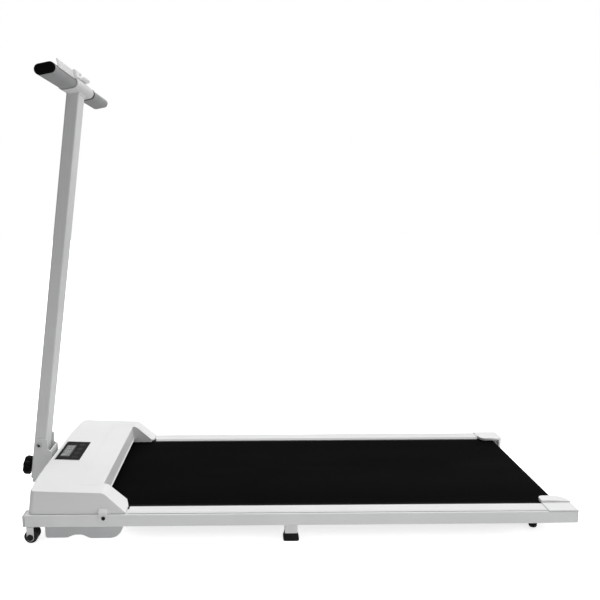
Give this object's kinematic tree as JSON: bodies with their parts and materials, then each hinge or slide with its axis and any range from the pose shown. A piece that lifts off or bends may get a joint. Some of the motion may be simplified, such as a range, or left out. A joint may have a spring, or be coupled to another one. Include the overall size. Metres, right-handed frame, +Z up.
{
  "type": "treadmill",
  "caption": "Folding walking treadmill: belt deck between steel rails, low motor hood with a display, and a T-shaped handlebar on a hinged post held upright by a hand knob.",
  "frame": {"origin": "middle of the machine's overall footprint, at floor level", "axes": "+X runs from the motor and handle end towards the rear of the belt, +Y across the machine, +Z up"},
  "size_m": [1.2389, 0.5306, 0.9764],
  "materials": {
    "frame_paint": "satin white powder coat",
    "cover_plastic": "fine textured white",
    "pan_plastic": "light grey moulded",
    "grip_rubber": "matt grey",
    "black_plastic": "satin black",
    "black_rubber": "matt black",
    "walking_surface": "fine textured black",
    "bare_steel": "plain steel",
    "black_steel": "black oxide",
    "heat_sink_metal": "satin",
    "deck_board": "fibreboard with dark faces",
    "circuit_board": "green solder mask",
    "display_lens": "smoked gloss"
  },
  "bodies": {
    "treadmill": {"front_crossmember": "frame_paint", "front_deck_support": "frame_paint", "middle_deck_support": "frame_paint", "rear_deck_support": "frame_paint", "left_side_rail": "frame_paint", "right_side_rail": "frame_paint", "left_wheel_fork": "frame_paint", "right_wheel_fork": "frame_paint", "left_middle_leg": "frame_paint", "right_middle_leg": "frame_paint", "handle_bracket": "frame_paint", "motor_hood": "cover_plastic", "left_foot_rail": "cover_plastic", "right_foot_rail": "cover_plastic", "left_end_cap": "cover_plastic", "right_end_cap": "cover_plastic", "bottom_pan": "pan_plastic", "left_rail_plug": "pan_plastic", "right_rail_plug": "pan_plastic", "display_frame": "black_plastic", "power_inlet": "black_plastic", "left_middle_foot": "black_rubber", "right_middle_foot": "black_rubber", "left_rear_foot": "black_rubber", "right_rear_foot": "black_rubber", "drive_belt": "black_rubber", "walking_belt": "walking_surface", "front_roller_axle": "bare_steel", "rear_roller_axle": "bare_steel", "motor_bracket": "bare_steel", "pivot_bolt": "black_steel", "pivot_nut": "black_steel", "left_wheel_bolt": "black_steel", "right_wheel_bolt": "black_steel", "left_hood_screw": "black_steel", "right_hood_screw": "black_steel", "rear_foot_bar": "black_steel", "motor_housing": "black_steel", "heat_sink": "heat_sink_metal", "running_deck": "deck_board", "control_board": "circuit_board", "display_board": "circuit_board", "display_window": "display_lens"},
    "handle": {"post_tube": "frame_paint", "post_end_plug": "black_plastic", "handlebar_tube": "frame_paint", "handlebar_cover": "cover_plastic", "left_grip": "grip_rubber", "right_grip": "grip_rubber", "left_grip_plug": "black_plastic", "right_grip_plug": "black_plastic", "device_rest": "cover_plastic"},
    "knob": {"lock_knob": "black_plastic", "lock_bolt": "bare_steel"},
    "left_wheel": {"left_transport_wheel": "black_plastic"},
    "right_wheel": {"right_transport_wheel": "black_plastic"},
    "front_drum": {"front_roller": "bare_steel"},
    "rear_drum": {"rear_roller": "bare_steel"},
    "rotor": {"motor_shaft": "bare_steel"},
    "switch": {"power_switch": "black_plastic"}
  },
  "joints": [
    {"name": "handle_fold", "type": "hinge", "parent": "treadmill", "child": "handle", "pos_m": [-0.5694, 0, 0.136], "axis": [0, 1, 0], "range_deg": [0, 81]},
    {"name": "lock_knob_turn", "type": "hinge", "parent": "handle", "child": "knob", "pos_m": [-0.5786, 0, 0.07256], "axis": [0.9897, 0, -0.1435], "continuous": true},
    {"name": "left_wheel_spin", "type": "hinge", "parent": "treadmill", "child": "left_wheel", "pos_m": [-0.5299, -0.2414, 0.014], "axis": [0, 1, 0], "continuous": true},
    {"name": "right_wheel_spin", "type": "hinge", "parent": "treadmill", "child": "right_wheel", "pos_m": [-0.5299, 0.2414, 0.014], "axis": [0, 1, 0], "continuous": true},
    {"name": "front_roller_spin", "type": "hinge", "parent": "treadmill", "child": "front_drum", "pos_m": [-0.3897, 0, 0.042], "axis": [0, 1, 0], "continuous": true},
    {"name": "rear_roller_spin", "type": "hinge", "parent": "treadmill", "child": "rear_drum", "pos_m": [0.5843, 0, 0.042], "axis": [0, 1, 0], "continuous": true},
    {"name": "motor_spin", "type": "hinge", "parent": "treadmill", "child": "rotor", "pos_m": [-0.4697, 0, 0.062], "axis": [0, 1, 0], "continuous": true},
    {"name": "power_switch_rock", "type": "hinge", "parent": "treadmill", "child": "switch", "pos_m": [-0.4982, -0.1915, 0.023], "axis": [0, 1, 0], "range_deg": [0, 14]}
  ],
  "couplings": [
    {"joint": "rear_roller_spin", "follows": "front_roller_spin", "ratio": 1},
    {"joint": "motor_spin", "follows": "front_roller_spin", "ratio": 2}
  ]
}
